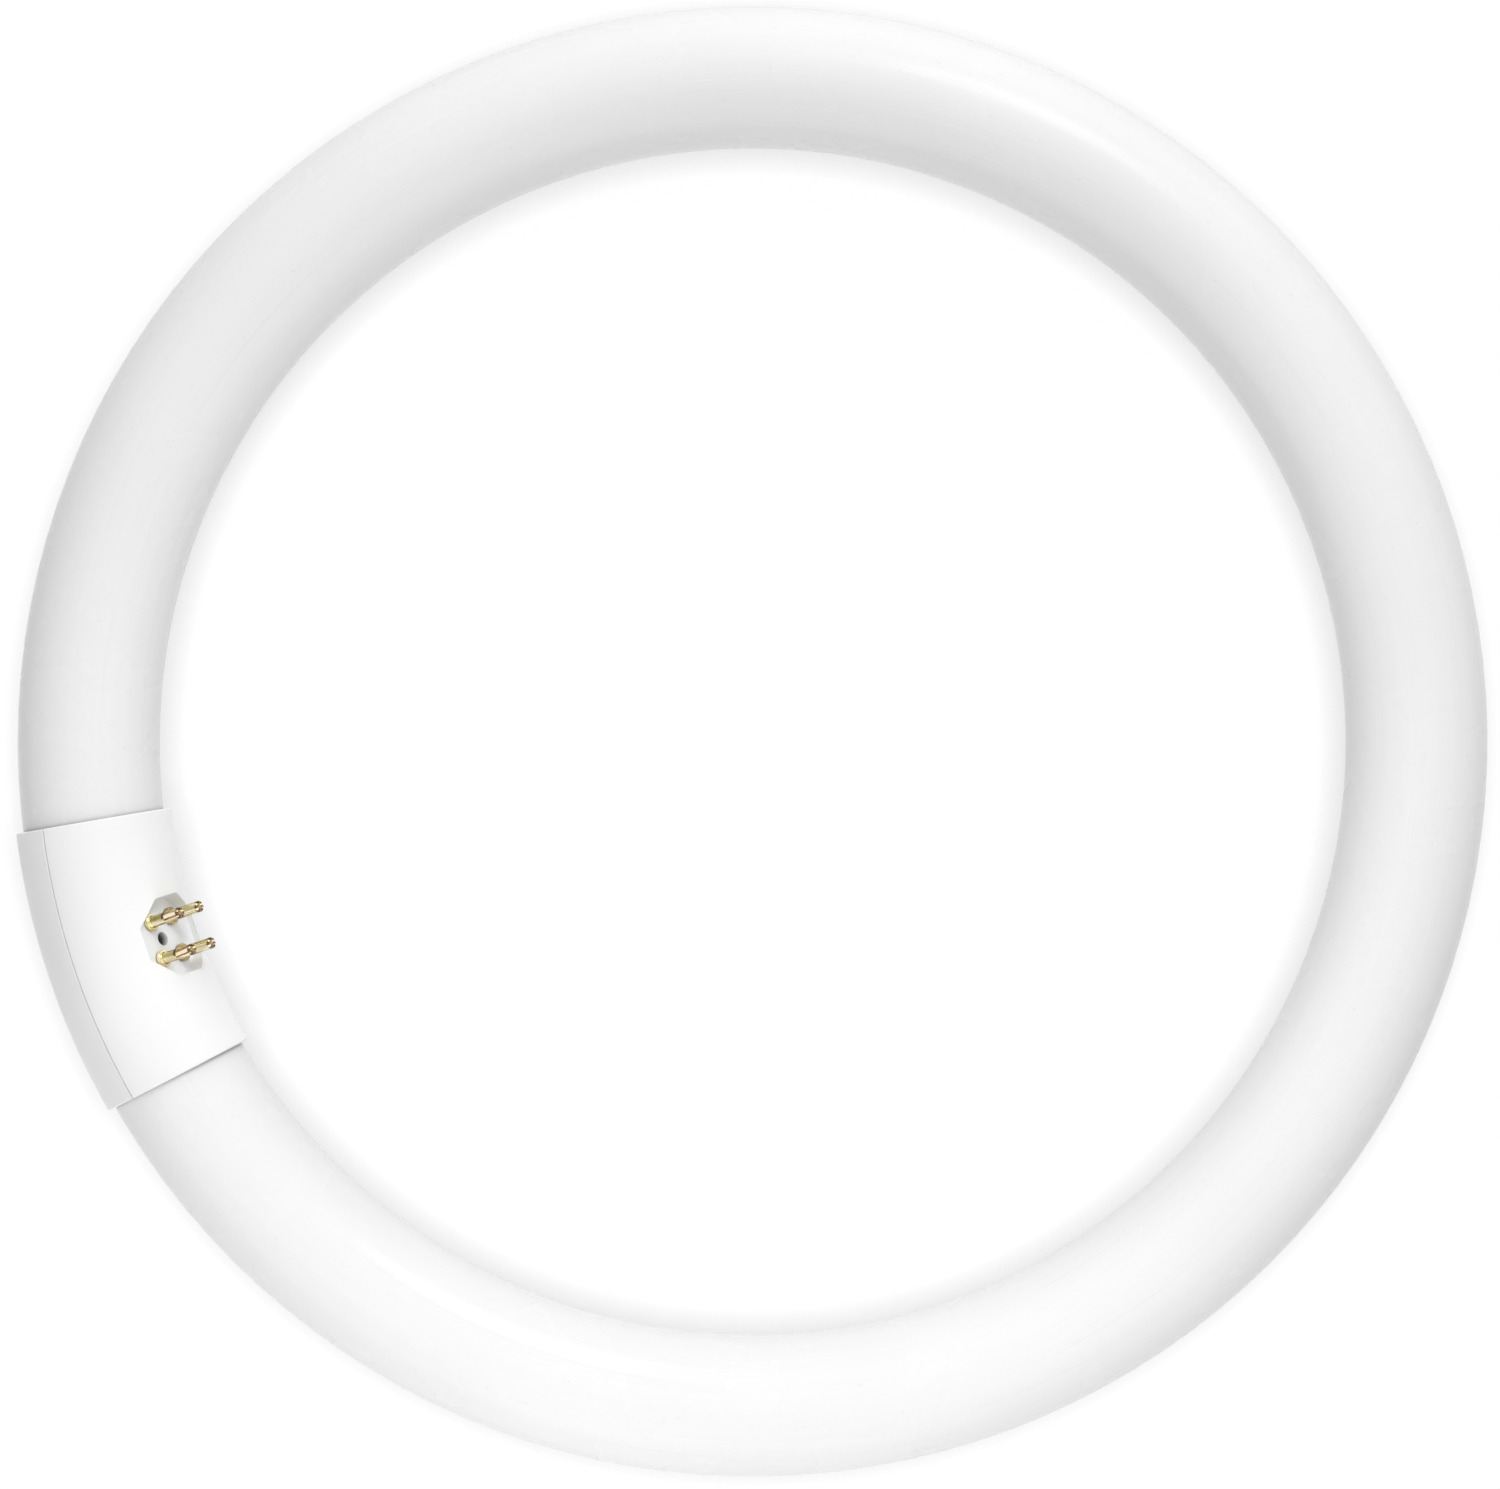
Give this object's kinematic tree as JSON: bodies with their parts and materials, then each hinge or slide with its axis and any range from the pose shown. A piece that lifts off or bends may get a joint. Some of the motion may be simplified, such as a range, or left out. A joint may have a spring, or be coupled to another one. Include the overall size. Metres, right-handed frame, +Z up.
{
  "type": "circular fluorescent tube",
  "caption": "Ring-shaped white fluorescent lamp with a two-part plastic collar over its gap and four brass pins that lean up and inward from an octagonal recess.",
  "frame": {"origin": "centre of the ring, on the surface that the lamp lies on, which is the collar's lowest line", "axes": "+Z up, square to the ring's plane, on the side that the pins lean to; the collar is at -X"},
  "size_m": [0.3065, 0.305, 0.0324],
  "materials": {
    "coated_glass": "white inner coating under clear gloss",
    "white_plastic": "satin moulded",
    "pin_brass": "polished",
    "lead_metal": "drawn wire",
    "sleeve": "soft insulating sleeve"
  },
  "bodies": {
    "root": {"glass_tube": "coated_glass", "pin_shell": "white_plastic", "back_shell": "white_plastic", "contact_pin_1": "pin_brass", "contact_pin_2": "pin_brass", "contact_pin_3": "pin_brass", "contact_pin_4": "pin_brass", "lead_wire_1": "lead_metal", "lead_wire_2": "lead_metal", "lead_wire_3": "lead_metal", "lead_wire_4": "lead_metal", "wire_sleeve_1": "sleeve", "wire_sleeve_2": "sleeve", "wire_sleeve_3": "sleeve", "wire_sleeve_4": "sleeve"}
  },
  "joints": []
}
